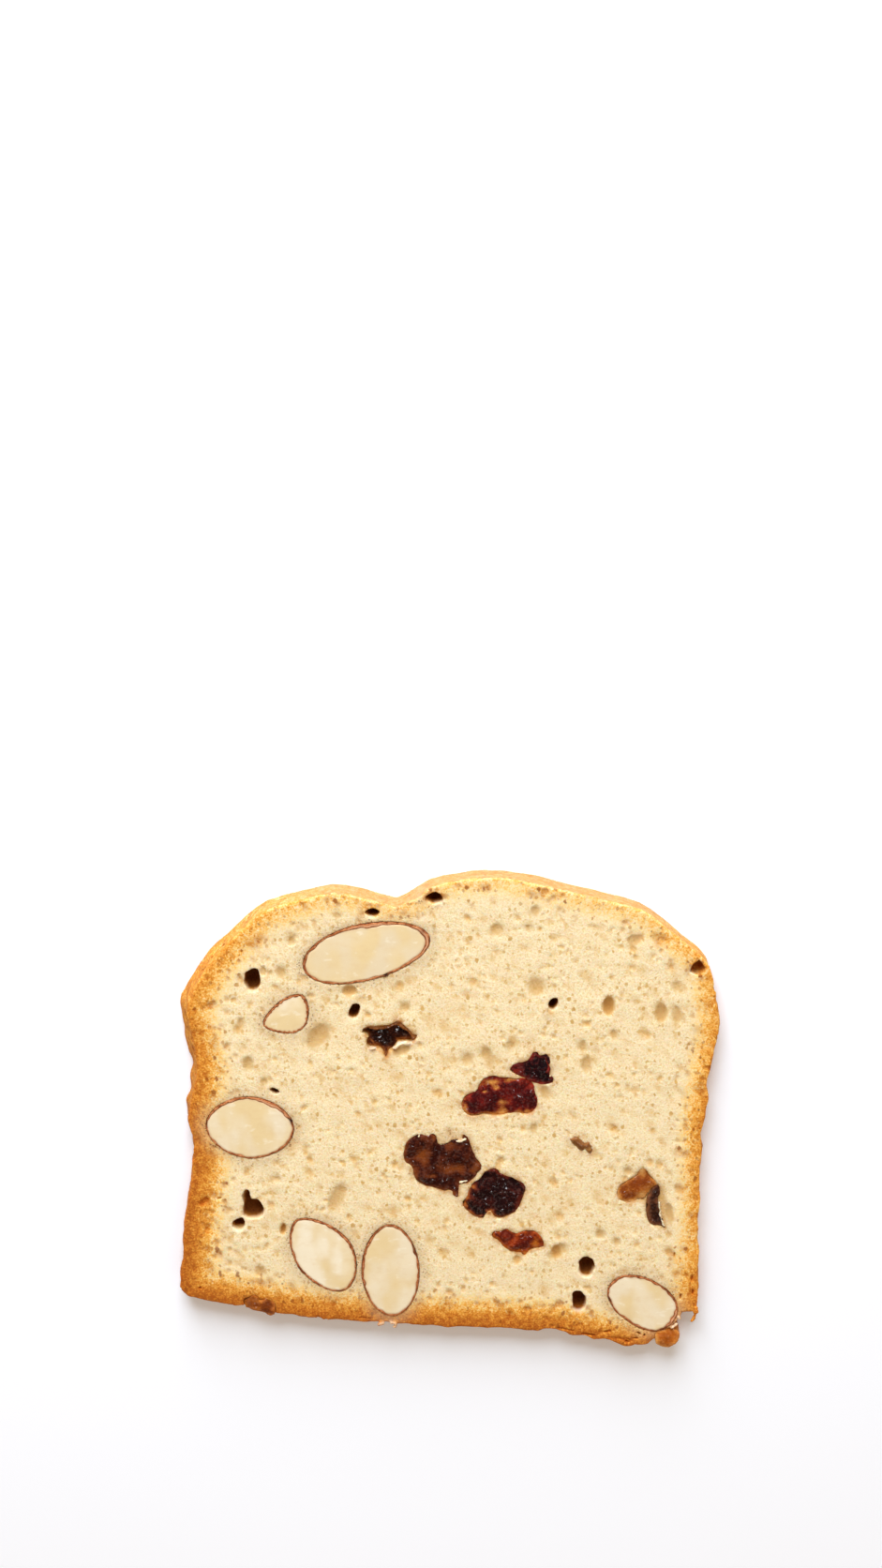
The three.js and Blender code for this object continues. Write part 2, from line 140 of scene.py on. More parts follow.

# Open hollows and cracks in the cut face: x, y, half length, half width and depth in mm, turn in degrees,
# and how dark the painted shade inside each is, from 0 to 1
HOLLOWS = [
    (-7.6, 14.5, 1.8, 0.8, 0.5, 25, 0.0), (42.6, -19.0, 0.8, 2.2, 0.5, 8, 0.0),
    (30.0, 23.4, 1.1, 1.9, 0.8, 0, 0.45), (39.7, 22.1, 1.05, 1.8, 0.6, 0, 0.2),
    (-30.2, -22.5, 0.5, 1.1, 0.8, -12, 0.6), (-44.9, -16.5, 1.3, 0.6, 0.4, 38, 0.6),
    (-44.6, -22.3, 0.5, 1.0, 0.4, -18, 0.6), (-42.0, -15.9, 0.5, 0.25, 0.4, 25, 0.7),
    (-46.4, -35.2, 0.3, 0.3, 0.5, 0, 1.0), (47.4, -33.2, 0.25, 0.8, 0.5, 0, 0.8),
    (47.7, -36.1, 0.25, 0.7, 0.5, 0, 0.8), (45.4, -37.1, 0.22, 0.7, 0.5, 0, 0.8),
    (43.9, -28.0, 0.22, 0.6, 0.5, 0, 0.8), (37.7, -45.2, 0.5, 0.22, 0.7, -30, 1.0),
    (38.8, -45.6, 0.22, 0.3, 0.7, 0, 1.0), (37.2, -46.3, 0.5, 0.2, 0.6, 0, 1.0),
    (28.0, -45.5, 1.5, 0.22, 0.6, -9, 0.9), (35.5, -47.1, 0.6, 0.22, 0.6, -10, 1.0),
    (31.5, -44.8, 0.8, 0.2, 0.5, 12, 0.8), (21.5, -27.3, 0.9, 1.4, 0.7, 0, 0.45),
    (-16.9, 26.4, 1.3, 0.95, 0.6, 10, 0.35), (39.2, 36.4, 1.7, 1.1, 0.4, -25, 0.1),
    (25.9, -38.9, 1.0, 1.6, 2.4, 0, 0.4),
]

# Parts of the deep bubbles whose painted shade is mostly taken out, so that they look light: x, y and
# reach in mm
LIGHT_PITS = [(45.4, 30.6, 2.0), (-37.8, -15.2, 1.3), (-38.6, -21.3, 1.0)]

# Places where dark specks gather, apart from those along the almonds: x, y and reach in mm
SPECKS = [
    (-3.6, 44.0, 1.5), (-0.9, 43.8, 1.2), (19.8, 11.4, 1.1), (0.9, -2.6, 1.3), (6.1, -5.4, 0.7),
    (37.9, -45.2, 1.0), (19.2, 21.4, 0.9),
]

# Dark knots on the almonds' skins, and stretches where the skin is cut at a slant and shows wide
KNOTS = [
    (-10.3, 29.5, 0.6), (-26.5, -31.2, 0.5), (-15.0, -19.3, 0.5), (-5.8, -29.0, 0.5), (-3.2, -39.0, 0.6),
    (-3.8, 37.9, 0.5), (-28.3, 0.4, 0.7), (46.3, -40.0, 0.6),
]
WIDE_SKIN = [
    (-12.5, 38.9, 4.0), (-3.4, 37.0, 3.0), (-7.0, 32.6, 3.0), (-31.5, 3.9, 2.6), (45.0, -42.0, 2.2),
]

# How pale each kernel is, from 0 to 1
PALE_KERNELS = {"almond_upper": 0.0, "almond_left": 0.5, "almond_base_left": 1.0, "almond_small": 0.9}

# Places outside the fruit that are stained amber, in the same way
STAINS = [
    (-2.9, 45.6, 0.8), (-0.4, 44.9, 0.6), (45.4, 30.6, 1.5), (-8.0, 20.2, 1.2), (-47.3, 2.4, 0.9),
    (-46.2, -2.6, 1.0), (8.7, -18.9, 0.8), (2.2, -15.2, 0.6), (-1.6, -3.0, 0.5),
]

random = np.random.default_rng(SEED)


def smooth_max(a, b, reach):
    """The larger of two fields, blended where they are nearly equal."""
    blend = np.clip(0.5 + 0.5 * (a - b) / reach, 0, 1)
    return b + (a - b) * blend + reach * blend * (1 - blend)


def smooth_step(value, low, high):
    """0 at low and 1 at high, with a smooth change between them, and held beyond both."""
    share = np.clip((value - low) / (high - low), 0, 1)
    return share * share * (3 - 2 * share)


def spline_weights(places, wavelength):
    """How much each knot of an even lattice counts at each place, by cubic B-splines."""
    at = (places - places.min()) / wavelength
    first = np.floor(at).astype(int)
    part = at - first
    weights = np.zeros((len(places), first.max() + 4), np.float32)
    rows = np.arange(len(places))
    weights[rows, first] = (1 - part) ** 3 / 6
    weights[rows, first + 1] = (3 * part ** 3 - 6 * part ** 2 + 4) / 6
    weights[rows, first + 2] = (-3 * part ** 3 + 3 * part ** 2 + 3 * part + 1) / 6
    weights[rows, first + 3] = part ** 3 / 6
    return weights


def noise(axes, wavelengths):
    """Smooth random relief of about unit height over a grid, with a wavelength in mm for each axis."""
    weights = [spline_weights(a, w) for a, w in zip(axes, wavelengths)]
    relief = random.normal(size=[w.shape[1] for w in weights]).astype(np.float32)
    for index, weight in enumerate(weights):
        relief = np.moveaxis(np.tensordot(weight, np.moveaxis(relief, index, 0), 1), 0, index)
    return relief / max(relief.std(), 1e-6)


def sample(field, axes, points):
    """A 2-D field's value at each point, by linear interpolation."""
    step = axes[0][1] - axes[0][0]
    u = np.clip((points[:, 0] - axes[0][0]) / step, 0, len(axes[0]) - 1.001)
    v = np.clip((points[:, 1] - axes[1][0]) / step, 0, len(axes[1]) - 1.001)
    i, j = u.astype(int), v.astype(int)
    u, v = u - i, v - j
    low = field[i, j] * (1 - v) + field[i, j + 1] * v
    high = field[i + 1, j] * (1 - v) + field[i + 1, j + 1] * v
    return low * (1 - u) + high * u


# Reading the CAD nodes

def section(name, height):
    """The closed outlines of a node cut at a height, in mm, the longest first."""
    cut = bmesh.new()
    cut.from_mesh(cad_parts[name].data)
    bmesh.ops.remove_doubles(cut, verts=cut.verts, dist=1e-6)
    geometry = cut.verts[:] + cut.edges[:] + cut.faces[:]
    plane = Vector((0, 0, height * MM))
    found = bmesh.ops.bisect_plane(cut, geom=geometry, dist=1e-7, plane_co=plane, plane_no=(0, 0, 1))
    # a dict, because a set of edges comes in another order in each run
    edges = dict.fromkeys(e for e in found["geom_cut"] if isinstance(e, bmesh.types.BMEdge))
    loops = []
    while edges:
        edge, _ = edges.popitem()
        start, here = edge.verts
        loop = [start, here]
        while here != start:
            edge = next((e for e in here.link_edges if e in edges), None)
            if edge is None:
                break
            del edges[edge]
            here = edge.other_vert(here)
            loop.append(here)
        loops.append(np.array([(v.co.x, v.co.y) for v in loop[:-1]]) / MM)
    cut.free()
    return sorted(loops, key=lambda loop: -np.ptp(loop, axis=0).sum())


def anticlockwise(outline):
    """The outline, turned round if it runs clockwise."""
    ahead = np.roll(outline, -1, axis=0)
    area = (outline[:, 0] * ahead[:, 1] - ahead[:, 0] * outline[:, 1]).sum()
    return outline if area > 0 else outline[::-1]


def outline_distance(outline, x, y):
    """Distance from each grid point to an outline, negative inside it."""
    gx, gy = np.meshgrid(x, y, indexing="ij")
    nearest = np.full(gx.shape, 1e9)
    inside = np.zeros(gx.shape, bool)
    for (ax, ay), (bx, by) in zip(outline, np.roll(outline, -1, axis=0)):
        ex, ey = bx - ax, by - ay
        px, py = gx - ax, gy - ay
        along = np.clip((px * ex + py * ey) / max(ex * ex + ey * ey, 1e-12), 0, 1)
        nearest = np.minimum(nearest, (px - ex * along) ** 2 + (py - ey * along) ** 2)
        if ay != by:
            crosses = ((ay > gy) != (by > gy)) & (gx < ex * (gy - ay) / ey + ax)
            inside ^= crosses
    nearest = np.sqrt(nearest)
    return np.where(inside, -nearest, nearest).astype(np.float32)


def outline_of(name):
    """The widest outline of a nut's or a fruit's node."""
    share = 0.95 if name.startswith("almond") else 0.48
    return anticlockwise(section(name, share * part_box(name)[1].z / MM)[0])


def span(axes, low, high):
    """The part of a grid's plane between two corners, as a slice of each axis."""
    return tuple(slice(*np.searchsorted(axis, (a, b))) for axis, a, b in zip(axes, low, high))


# Making meshes

def new_piece(name, points, faces, material, node):
    """A smooth mesh piece that stands for a CAD node, from points in mm."""
    mesh = bpy.data.meshes.new(name)
    mesh.from_pydata((np.asarray(points) * MM).tolist(), [], faces)
    mesh.validate()
    mesh.polygons.foreach_set("use_smooth", [True] * len(mesh.polygons))
    mesh.materials.append(material)
    piece = bpy.data.objects.new(name, mesh)
    bpy.context.scene.collection.objects.link(piece)
    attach(piece, BODY)
    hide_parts(node)
    return piece


def field_mesh(field, axes, thinning):
    """Points and faces of a field's zero surface, with the faces pointing out of the negative side."""
    step = axes[0][1] - axes[0][0]
    grid = openvdb.FloatGrid(3 * step)
    grid.copyFromArray(np.clip(field, -3 * step, 3 * step).astype(np.float32))
    points, triangles, quads = grid.convertToPolygons(isovalue=0.0, adaptivity=thinning)
    points = points * step + np.array([a[0] for a in axes])
    corners = points[np.concatenate([triangles, quads[:, :3], quads[:, [0, 2, 3]]])]
    volume = np.einsum("ij,ij->i", corners[:, 0], np.cross(corners[:, 1], corners[:, 2])).sum()
    faces = triangles.tolist() + quads.tolist()
    if volume < 0:
        faces = [face[::-1] for face in faces]
    return points, faces


def set_attribute(piece, name, values):
    """Gives each point of a piece a number that its material reads."""
    layer = piece.data.attributes.new(name, "FLOAT", "POINT")
    layer.data.foreach_set("value", np.asarray(values, np.float32))


# Materials

def tone(red, green, blue):
    """A colour read off the photograph's 0 to 255 scale, as the linear value that shaders take."""
    share = np.array([red, green, blue]) / 255
    linear = np.where(share <= 0.04045, share / 12.92, ((share + 0.055) / 1.055) ** 2.4)
    return (*linear.tolist(), 1.0)


class Shader:
    """One material, with short calls that add nodes to it."""

    def __init__(self, name, **surface):
        self.material = bpy.data.materials.new(name)
        self.material.use_nodes = True
        self.tree = self.material.node_tree
        self.surface = self.tree.nodes["Principled BSDF"]
        for socket, value in surface.items():
            self.surface.inputs[socket.replace("_", " ")].default_value = value
        self.place = self.tree.nodes.new("ShaderNodeTexCoord").outputs["Object"]

    def feed(self, socket, value):
        """Gives a socket a number or a colour, or links it to another node's output."""
        if isinstance(value, bpy.types.NodeSocket):
            self.tree.links.new(value, socket)
        else:
            socket.default_value = value

    def set(self, name, value):
        self.feed(self.surface.inputs[name], value)

    def attribute(self, name):
        """A number that the mesh carries at each of its points."""
        node = self.tree.nodes.new("ShaderNodeAttribute")
        node.attribute_name = name
        return node.outputs["Fac"]

    def noise(self, size, detail=2.0, roughness=0.5, stretch=(1, 1, 1), output="Fac"):
        """Noise whose blotches are about size mm, drawn out along the axes by stretch."""
        node = self.tree.nodes.new("ShaderNodeTexNoise")
        node.inputs["Scale"].default_value = 1 / (size * MM)
        node.inputs["Detail"].default_value = detail
        node.inputs["Roughness"].default_value = roughness
        self.feed(node.inputs["Vector"], self.stretched(stretch))
        return node.outputs[output]

    def warp(self, size, amount):
        """Bends what later textures show by amount mm, in waves of size mm."""
        node = self.tree.nodes.new("ShaderNodeVectorMath")
        node.operation = "MULTIPLY_ADD"
        self.feed(node.inputs[0], self.noise(size, 1.0, output="Color"))
        node.inputs[1].default_value = [2 * amount * MM] * 3
        self.feed(node.inputs[2], self.place)
        self.place = node.outputs[0]

    def cells(self, size, stretch=(1, 1, 1), feature="F1"):
        """Distance to the nearest of the points strewn about size mm apart."""
        node = self.tree.nodes.new("ShaderNodeTexVoronoi")
        node.feature = feature
        node.inputs["Scale"].default_value = 1 / (size * MM)
        self.feed(node.inputs["Vector"], self.stretched(stretch))
        return node.outputs["Distance"]

    def discs(self, size, reach, stretch=(1, 1, 1)):
        """Soft-edged spots of uneven size, up to reach of the size mm that they are strewn apart."""
        node = self.tree.nodes.new("ShaderNodeTexVoronoi")
        node.inputs["Scale"].default_value = 1 / (size * MM)
        self.feed(node.inputs["Vector"], self.stretched(stretch))
        radius = self.between(node.outputs["Color"], 0.25, 0.8, 0.0, reach)
        return self.between(self.math("SUBTRACT", radius, node.outputs["Distance"]), -0.01, 0.1)

    def stretched(self, stretch):
        """The place that textures are read at, drawn out along the axes."""
        if stretch == (1, 1, 1):
            return self.place
        node = self.tree.nodes.new("ShaderNodeMapping")
        node.inputs["Scale"].default_value = [1 / s for s in stretch]
        self.feed(node.inputs["Vector"], self.place)
        return node.outputs["Vector"]

    def math(self, operation, a, b=0.0):
        node = self.tree.nodes.new("ShaderNodeMath")
        node.operation = operation
        self.feed(node.inputs[0], a)
        self.feed(node.inputs[1], b)
        return node.outputs[0]

    def between(self, value, low, high, to_low=0.0, to_high=1.0):
        """Value spread from low..high to to_low..to_high, and held there."""
        node = self.tree.nodes.new("ShaderNodeMapRange")
        node.interpolation_type = "SMOOTHSTEP"
        limits = {"From Min": low, "From Max": high, "To Min": to_low, "To Max": to_high}
        for name, number in limits.items():
            node.inputs[name].default_value = number
        self.feed(node.inputs["Value"], value)
        return node.outputs["Result"]

    def mix(self, share, a, b, kind="MIX"):
        node = self.tree.nodes.new("ShaderNodeMix")
        node.data_type = "RGBA"
        node.blend_type = kind
        self.feed(node.inputs[0], share)
        self.feed(node.inputs[6], a)
        self.feed(node.inputs[7], b)
        return node.outputs[2]

    def tint(self, colour, *layers):
        """A colour under layers of (mask, strength, tone)."""
        for mask, strength, shade in layers:
            colour = self.mix(self.math("MULTIPLY", mask, strength), colour, tone(*shade))
        return colour

    def ramp(self, value, *stops):
        """A colour ramp of (place, colour) stops."""
        node = self.tree.nodes.new("ShaderNodeValToRGB")
        elements = node.color_ramp.elements
        while len(elements) < len(stops):
            elements.new(0.5)
        for element, (at, colour) in zip(elements, stops):
            element.position = at
            element.color = colour
        self.feed(node.inputs["Fac"], value)
        return node.outputs["Color"]

    def bump(self, height, strength, distance):
        """Bump of a height from 0 to 1, standing distance mm high."""
        node = self.tree.nodes.new("ShaderNodeBump")
        self.feed(node.inputs["Strength"], strength)
        node.inputs["Distance"].default_value = distance * MM
        self.feed(node.inputs["Height"], height)
        self.set("Normal", node.outputs["Normal"])


def crumb_material():
    """Dry open crumb: cream inside, toasted at the rim, with painted shade that is tan in its pores and
    dark in its bubbles.
    """
    shader = Shader("crumb", Roughness=0.9, Specular_IOR_Level=0.12, Subsurface_Weight=0.35,
                    Subsurface_Radius=(1.0, 0.6, 0.3), Subsurface_Scale=0.8 * MM)
    toast, pore_shade, dish_shade = (shader.attribute(name) for name in ("toast", "pore_shade", "dish_shade"))
    grain = shader.noise(0.34, 3.0, 0.6)
    mottle = shader.noise(0.9, 2.0, 0.6, (1, 1.5, 1))
    clouds = shader.noise(5.0, 2.0)
    shader.warp(0.8, 0.35)
    mesh = shader.between(shader.cells(0.55, (1, 1.2, 1)), 0.12, 0.5, 1.0, 0.0)
    webs = shader.between(shader.cells(0.75, (1, 1.3, 1), "DISTANCE_TO_EDGE"), 0.02, 0.16, 1.0, 0.0)
    flecks = shader.discs(0.95, 0.36, (1, 1.25, 1))
    spots = shader.discs(1.8, 0.25, (1, 1.3, 1))
    dots = shader.discs(3.3, 0.12)
    slots = shader.discs(2.2, 0.2, (1, 2.4, 1))

    cream = shader.mix(shader.between(grain, 0.36, 0.64), tone(248, 230, 189), tone(232, 203, 147))
    cream = shader.mix(shader.between(clouds, 0.35, 0.65, 0.0, 0.35), cream, tone(235, 209, 161))
    # The pore and dish layers are painted shade: tan inside the pores and the shallow bowls
    cream = shader.tint(
        cream, (mesh, 0.5, (226, 188, 120)), (webs, 0.4, (251, 236, 200)), (flecks, 0.7, (210, 168, 96)),
        (spots, 0.85, (202, 156, 80)), (dots, 0.8, (168, 120, 54)), (pore_shade, 0.75, (222, 182, 114)),
        (dish_shade, 0.8, (210, 182, 130)))

    uneven = shader.between(toast, 0.05, 0.45, 0.4, 1.0)
    spread = shader.math("ADD", shader.between(grain, 0.32, 0.68, -0.2, 0.16),
                         shader.between(mottle, 0.32, 0.68, -0.14, 0.11))
    spread = shader.math("ADD", spread, shader.math("MULTIPLY", mesh, 0.14))
    browned = shader.math("ADD", toast, shader.math("MULTIPLY", spread, uneven))
    toasted = shader.ramp(
        browned, (0.0, tone(244, 224, 180)), (0.12, tone(244, 216, 158)), (0.25, tone(246, 208, 136)),
        (0.4, tone(241, 183, 92)), (0.55, tone(229, 158, 62)), (0.7, tone(213, 135, 45)),
        (0.85, tone(197, 116, 36)), (1.0, tone(174, 93, 25)))
    # the pore layer here is painted shade inside the toasted pores
    toasted = shader.tint(
        toasted, (flecks, 0.5, (168, 90, 24)), (spots, 0.8, (150, 76, 18)), (dots, 0.85, (104, 50, 16)),
        (slots, 0.75, (140, 68, 16)), (pore_shade, 0.6, (172, 94, 28)))
    colour = shader.mix(shader.between(toast, 0.02, 0.2), cream, toasted)

    wall = shader.attribute("wall")
    streaks = shader.noise(1.6, 2.0, 0.5, (1, 1, 0.4))
    skin = shader.mix(shader.between(streaks, 0.35, 0.65, 0.2, 0.65), toasted, tone(182, 114, 54))
    skin = shader.mix(shader.between(toast, 0.2, 0.6, 0.2, 1.0), tone(174, 124, 76), skin)
    colour = shader.mix(wall, colour, skin)

    # A greyish haze with dark specks: the specks are real, and the haze round the almonds is painted shade
    # beside the nuts
    specks_and_shade = shader.attribute("specks_and_shade")
    patchy = shader.between(shader.noise(1.8, 2.0), 0.35, 0.6, 0.35, 1.0)
    speckled = shader.math("MULTIPLY", shader.between(shader.cells(0.55), 0.14, 0.34, 1.0, 0.0), patchy)
    colour = shader.tint(colour, (specks_and_shade, 0.55, (200, 168, 126)), (specks_and_shade, speckled, (118, 74, 40)))

    # Painted shade: the crumb's colour darkens with how deep a point lies in a pore, bubble or hollow
    hollow = shader.math("DIVIDE", shader.attribute("hollow"), THICKNESS)
    painted_pit_shade = shader.ramp(
        hollow, (0.0, tone(255, 255, 255)), (0.04, tone(246, 230, 208)), (0.12, tone(243, 222, 192)),
        (0.26, tone(228, 194, 148)), (0.4, tone(194, 144, 84)), (0.6, tone(148, 96, 40)),
        (0.85, tone(112, 64, 22)))
    colour = shader.mix(1.0, colour, painted_pit_shade, "MULTIPLY")
    patches = shader.between(shader.noise(1.5, 2.0), 0.35, 0.6)
    colour = shader.tint(colour, (shader.attribute("stain"), patches, (172, 104, 40)))
    colour = shader.mix(shader.attribute("torn"), colour, tone(238, 219, 184))
    shader.set("Base Color", colour)
    height = shader.mix(0.4, grain, shader.mix(mesh, mottle, (0, 0, 0, 1)))
    height = shader.mix(0.3, height, webs)
    shader.bump(height, shader.between(wall, 0.0, 1.0, 0.55, 0.3), 0.12)
    return shader.material


def kernel_material():
    """The cut face of an almond: smooth, creamy and faintly clouded."""
    shader = Shader("kernel", Roughness=0.5, Specular_IOR_Level=0.25)
    clouds = shader.noise(4.6, 2.0, 0.4, (1, 1.7, 1))
    veins = shader.noise(1.8, 3.0, 0.5, (1, 0.6, 1))
    creamy = shader.mix(shader.attribute("pale"), tone(230, 208, 168), tone(244, 227, 193))
    colour = shader.mix(shader.between(clouds, 0.35, 0.65), creamy, tone(231, 203, 149))
    colour = shader.mix(shader.between(veins, 0.5, 0.72, 0.0, 0.25), colour, tone(222, 188, 134))
    colour = shader.mix(shader.between(veins, 0.28, 0.4, 0.4, 0.0), colour, tone(249, 236, 208))
    edge = shader.between(shader.attribute("rim"), 0.0, 0.6, 0.5, 0.0)
    colour = shader.mix(edge, colour, tone(214, 174, 132))
    shader.set("Base Color", colour)
    shader.bump(shader.mix(0.4, shader.noise(0.6, 3.0, 0.6), veins), 0.25, 0.08)
    return shader.material


def skin_material():
    """An almond's thin skin, cut across: reddish brown, dark in places, with a paler band where wide."""
    shader = Shader("skin", Roughness=0.7, Specular_IOR_Level=0.1)
    blotches = shader.noise(0.6, 3.0, 0.6)
    runs = shader.noise(3.2, 2.0, 0.5)
    colour = shader.ramp(
        blotches, (0.3, tone(124, 60, 28)), (0.5, tone(166, 94, 50)), (0.72, tone(206, 138, 88)))
    colour = shader.mix(shader.between(runs, 0.56, 0.7, 0.0, 0.7), colour, tone(92, 42, 18))
    colour = shader.mix(shader.attribute("band"), colour, tone(226, 168, 124))
    colour = shader.mix(shader.attribute("knot"), colour, tone(60, 26, 14))
    shader.set("Base Color", colour)
    shader.bump(blotches, 0.5, 0.1)
    return shader.material


def fruit_material(name, dark, middle, light, thin):
    """Sticky dried fruit: dark inside, redder at its edge, amber where it is thin as painted glow of light
    shining through, and with painted shade in its creases.
    """
    shader = Shader(name, Roughness=0.5, Specular_IOR_Level=0.06, Coat_Roughness=0.14)
    clouds = shader.noise(2.2, 3.0, 0.55)
    grain = shader.noise(0.36, 3.0, 0.6)
    colour = shader.ramp(clouds, (0.4, dark), (0.62, middle))
    colour = shader.mix(shader.between(grain, 0.5, 0.75, 0.0, 0.5), colour, light)
    edge = shader.math("ADD", shader.attribute("edge"), shader.between(clouds, 0.3, 0.7, -0.3, 0.3))
    colour = shader.mix(shader.between(edge, 0.2, 1.0, 0.0, 0.9), colour, light)
    spread = shader.math("ADD", shader.between(clouds, 0.3, 0.7, -0.2, 0.2),
                         shader.between(grain, 0.3, 0.7, -0.16, 0.16))
    # painted glow: amber where light would shine through thin flesh
    glow = shader.math("ADD", shader.attribute("thin"), shader.math("MULTIPLY", spread, 0.7))
    colour = shader.mix(shader.between(glow, 0.0, 0.6, 0.0, 0.85), colour, light)
    colour = shader.mix(shader.between(glow, 0.3, 1.2, 0.0, 0.95), colour, thin)
    # painted shade in the creases of the fruit's folds
    colour = shader.mix(shader.math("MULTIPLY", shader.attribute("crease_shade"), 0.75), colour, dark)
    shader.set("Base Color", colour)
    glints = shader.between(shader.noise(0.55, 2.0, 0.6), 0.52, 0.6)
    shader.set("Coat Weight", glints)
    shader.bump(grain, 0.7, 0.3)
    return shader.material


# The crumb

def grid_axes(low, high, step):
    """The places of a grid's points along each axis, over a box and some steps past it."""
    before, after = GRID_MARGIN * step, (GRID_MARGIN + 1) * step
    return [np.arange(a - before, b + after, step) for a, b in zip(low, high)]


def piece_distances(names, x, y):
    """Distance over the grid to the nearest of some nodes' outlines, negative inside them."""
    reach, beyond = 6, 20.0
    nearest = np.full((len(x), len(y)), beyond, np.float32)
    for name in names:
        outline = outline_of(name)
        part = span((x, y), outline.min(0) - reach, outline.max(0) + reach)
        nearest[part] = np.minimum(nearest[part], outline_distance(outline, x[part[0]], y[part[1]]))
    return nearest


def ellipsoid(axes, centre, radii, turn):
    """The grid's part round an ellipsoid turned about Z, and how deep inside it each point lies."""
    reach = max(radii) + 0.4
    part = span(axes, np.array(centre) - reach, np.array(centre) + reach)
    places = [axis[window] - middle for axis, window, middle in zip(axes, part, centre)]
    px, py, pz = np.meshgrid(*places, indexing="ij", sparse=True)
    ca, sa = math.cos(turn), math.sin(turn)
    rx, ry = px * ca + py * sa, py * ca - px * sa
    size = np.sqrt((rx / radii[0]) ** 2 + (ry / radii[1]) ** 2 + (pz / radii[2]) ** 2)
    return part, ((1 - size) * min(radii)).astype(np.float32)


def carve(field, axes, *shape):
    """Takes an ellipsoid out of a field. Returns what ellipsoid does."""
    part, inside = ellipsoid(axes, *shape)
    field[part] = smooth_max(field[part], inside, CUT_BLEND)
    return part, inside


def sink(field, axes, centre, radii, turn, *marks):
    """Carves an open hollow in a face, and marks it in plans, each with its share."""
    part, inside = carve(field, axes, centre, radii, turn)
    level = np.abs(axes[2][part[2]] - centre[2]).argmin()
    for plan, share in marks:
        mark = share * np.clip(inside[:, :, level] / 0.12 + 0.6, 0, 1)
        plan[part[:2]] = np.maximum(plan[part[:2]], mark)


def heap(field, axes, *shape):
    """Adds an ellipsoid to a field."""
    part, inside = ellipsoid(axes, *shape)
    field[part] = -smooth_max(-field[part], inside, HEAP_BLEND)


def open_bowls(field, axes, rim, clear, ragged, torn):
    """Cuts the slice node's bubbles and pores into the front, clear of its rim.

    Returns plans of the deep ones, of their lips and of the shallow ones.
    """
    x, y, z = axes
    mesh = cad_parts[SLICE].data
    tree = BVHTree.FromPolygons([v.co / MM for v in mesh.vertices], [p.vertices for p in mesh.polygons])
    deep, lips, dish_shade_plan = (np.zeros(clear.shape, np.float32) for _ in range(3))
    for loop in section(SLICE, THICKNESS - 0.12)[1:]:
        outline = round_outline(anticlockwise(loop), 48)
        part = span((x, y), outline.min(0) - 1.2, outline.max(0) + 1.2)
        flat = outline_distance(outline, x[part[0]], y[part[1]])
        free = np.where(clear[part] > 0.45, flat, 1.0)
        i, j = np.unravel_index(free.argmin(), free.shape)
        if free[i, j] > 0:
            continue
        spot = Vector((x[part[0]][i], y[part[1]][j], THICKNESS + 1))
        depth = THICKNESS - tree.ray_cast(spot, Vector((0, 0, -1)))[0].z
        is_deep = depth > THICKNESS / 2
        if is_deep:
            fullness, edge, grown = 2.4, torn[part], 0.15
        else:
            fullness, edge, grown = 1.3, ragged[part], 0.2
            depth = min(depth, 0.3 + 0.1 * -flat.min())
        flat = np.maximum(flat - grown, rim[part] + RIM_ROOM - edge)
        widest = -flat.min()
        sunk = (THICKNESS - z) / max(depth, 0.3)
        narrowing = widest * (1 - np.sqrt(np.clip(1 - np.maximum(sunk, 0) ** fullness, 0, 1)))
        narrowing += 3 * np.maximum(sunk - 1, 0)
        bowl = (flat + edge)[:, :, None] + narrowing.astype(np.float32)
        field[part] = smooth_max(field[part], -bowl, CUT_BLEND)
        if is_deep:
            deep[part] = np.maximum(deep[part], flat < 0.5)
            lips[part] = np.maximum(lips[part], 0.5 * np.exp(-((flat + edge - 0.1) / 0.24) ** 2))
        else:
            # shallow bowls are marked for painted tan shade
            shown = random.uniform(0.6, 1.0) * smooth_step(-flat, -0.05, 0.2)
            dish_shade_plan[part] = np.maximum(dish_shade_plan[part], shown)
    return deep, lips, dish_shade_plan


def strewn_pores(field, axes, rim, clear, count, height):
    """Small open pores at random over a face, clear of its rim, nuts and fruit. Returns their plan."""
    x, y = axes[:2]
    plan = np.zeros(clear.shape, np.float32)
    for _ in range(count):
        at = np.array([[random.uniform(x[0], x[-1]), random.uniform(y[0], y[-1])]])
        radius = min(0.2 + 0.1 * random.gamma(1.5), 0.8)
        long = random.uniform(1.0, 1.7)
        turn = random.normal(math.pi / 2, 0.7)
        if sample(rim, axes, at)[0] > -radius - 0.2 or sample(clear, axes, at)[0] < radius + 0.15:
            continue
        radii = (radius * long, radius, 0.1 + radius * random.uniform(0.1, 0.4))
        sink(field, axes, (at[0, 0], at[0, 1], height), radii, turn, (plan, random.uniform(0.5, 1.0)))
    return plan


def crust_pores(field, axes, outline, count):
    """Pores and cracks in the crust round the slice."""
    ahead = np.roll(outline, -1, axis=0)
    lengths = np.linalg.norm(ahead - outline, axis=1)
    for _ in range(count):
        index = random.choice(len(outline), p=lengths / lengths.sum())
        start, end = outline[index], ahead[index]
        at = start + (end - start) * random.random()
        if at[1] > SMOOTH_CRUST_Y and random.random() < 0.7:
            continue
        along = math.atan2(end[1] - start[1], end[0] - start[0])
        radius = min(0.16 + 0.12 * random.gamma(1.5), 0.6)
        centre = (at[0], at[1], random.uniform(0.2, THICKNESS - 0.2))
        carve(field, axes, centre, (radius * random.uniform(1, 2.6), radius * 0.8, radius * 0.7), along)


